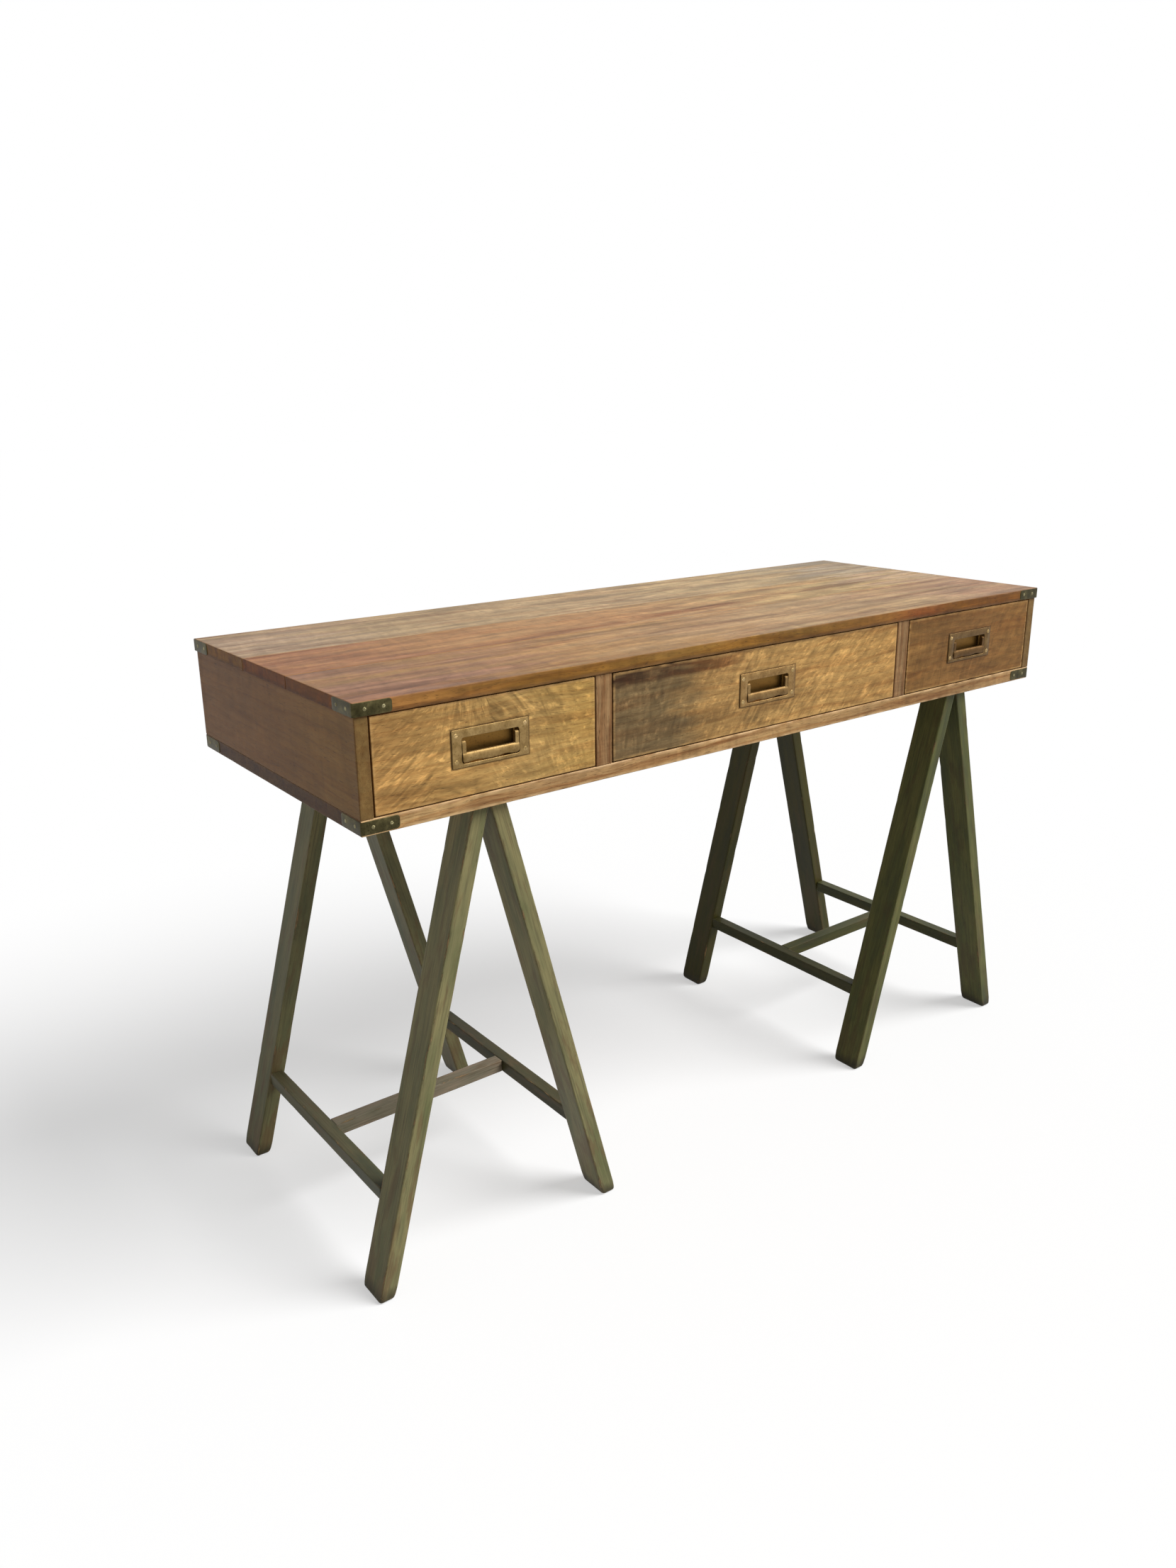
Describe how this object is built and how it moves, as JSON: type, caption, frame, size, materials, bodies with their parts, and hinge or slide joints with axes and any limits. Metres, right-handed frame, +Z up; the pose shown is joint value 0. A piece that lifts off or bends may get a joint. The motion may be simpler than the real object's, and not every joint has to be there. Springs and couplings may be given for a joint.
{
  "type": "campaign desk",
  "caption": "Writing desk in the campaign style: a long shallow wooden case with sliding drawers, flush brass bail pulls and corner brackets, on splayed painted wooden trestles.",
  "frame": {"origin": "on the floor, under the middle of the desk (middle of the bounding box's bottom)", "axes": "+X along the desk's length to the right of a person sitting at it, +Y from the drawer side to the back, +Z up"},
  "size_m": [1.2246, 0.4508, 0.75],
  "materials": {
    "desktop_mango_wood": "hand-planed mango boards, oiled and lightly waxed",
    "case_mango_wood": "mango boards, darker stain, satin wax",
    "drawer_front_mango_wood": "figured mango wood, honey stain, satin wax",
    "drawer_box_wood": "sanded, unfinished",
    "drawer_bottom_plywood": "sanded plywood, unfinished",
    "plain_hardwood": "plain, unfinished",
    "olive_painted_wood": "distressed olive paint rubbed through at the edges",
    "pull_aged_brass": "aged, satin",
    "bracket_aged_brass": "darkened with age",
    "zinc_steel": "zinc plated"
  },
  "bodies": {
    "case": {"back_panel": "case_mango_wood", "bottom_brackets": "bracket_aged_brass", "bottom_panel": "case_mango_wood", "desktop_plank_back": "desktop_mango_wood", "desktop_plank_front": "desktop_mango_wood", "desktop_plank_middle": "desktop_mango_wood", "divider_left": "case_mango_wood", "divider_right": "case_mango_wood", "drawer_stops": "plain_hardwood", "left_trestle_back_inner_leg": "olive_painted_wood", "left_trestle_back_outer_leg": "olive_painted_wood", "left_trestle_cross_stretcher": "olive_painted_wood", "left_trestle_front_inner_leg": "olive_painted_wood", "left_trestle_front_outer_leg": "olive_painted_wood", "left_trestle_inner_stretcher": "olive_painted_wood", "left_trestle_outer_stretcher": "olive_painted_wood", "left_trestle_top_rail": "olive_painted_wood", "right_trestle_back_inner_leg": "olive_painted_wood", "right_trestle_back_outer_leg": "olive_painted_wood", "right_trestle_cross_stretcher": "olive_painted_wood", "right_trestle_front_inner_leg": "olive_painted_wood", "right_trestle_front_outer_leg": "olive_painted_wood", "right_trestle_inner_stretcher": "olive_painted_wood", "right_trestle_outer_stretcher": "olive_painted_wood", "right_trestle_top_rail": "olive_painted_wood", "side_panel_left": "case_mango_wood", "side_panel_right": "case_mango_wood", "top_bracket_back_left": "bracket_aged_brass", "top_bracket_back_right": "bracket_aged_brass", "top_bracket_front_left": "bracket_aged_brass", "top_bracket_front_right": "bracket_aged_brass", "trestle_coach_screws": "zinc_steel"},
    "left_drawer": {"left_drawer_back": "drawer_box_wood", "left_drawer_bottom": "drawer_bottom_plywood", "left_drawer_front": "drawer_front_mango_wood", "left_drawer_left_side": "drawer_box_wood", "left_drawer_right_side": "drawer_box_wood", "left_pull_plate": "pull_aged_brass"},
    "left_bail": {"left_pull_bail": "pull_aged_brass"},
    "middle_drawer": {"middle_drawer_back": "drawer_box_wood", "middle_drawer_bottom": "drawer_bottom_plywood", "middle_drawer_front": "drawer_front_mango_wood", "middle_drawer_left_side": "drawer_box_wood", "middle_drawer_right_side": "drawer_box_wood", "middle_pull_plate": "pull_aged_brass"},
    "middle_bail": {"middle_pull_bail": "pull_aged_brass"},
    "right_drawer": {"right_drawer_back": "drawer_box_wood", "right_drawer_bottom": "drawer_bottom_plywood", "right_drawer_front": "drawer_front_mango_wood", "right_drawer_left_side": "drawer_box_wood", "right_drawer_right_side": "drawer_box_wood", "right_pull_plate": "pull_aged_brass"},
    "right_bail": {"right_pull_bail": "pull_aged_brass"}
  },
  "joints": [
    {"name": "left_drawer_slide", "type": "slide", "parent": "case", "child": "left_drawer", "axis": [0, -1, 0], "range_m": [0, 0.28]},
    {"name": "middle_drawer_slide", "type": "slide", "parent": "case", "child": "middle_drawer", "axis": [0, -1, 0], "range_m": [0, 0.28]},
    {"name": "right_drawer_slide", "type": "slide", "parent": "case", "child": "right_drawer", "axis": [0, -1, 0], "range_m": [0, 0.28]},
    {"name": "left_bail_hinge", "type": "hinge", "parent": "left_drawer", "child": "left_bail", "pos_m": [-0.434, -0.2215, 0.685], "axis": [-1, 0, 0], "range_deg": [0, 90]},
    {"name": "middle_bail_hinge", "type": "hinge", "parent": "middle_drawer", "child": "middle_bail", "pos_m": [0, -0.2215, 0.685], "axis": [-1, 0, 0], "range_deg": [0, 90]},
    {"name": "right_bail_hinge", "type": "hinge", "parent": "right_drawer", "child": "right_bail", "pos_m": [0.434, -0.2215, 0.685], "axis": [-1, 0, 0], "range_deg": [0, 90]}
  ]
}
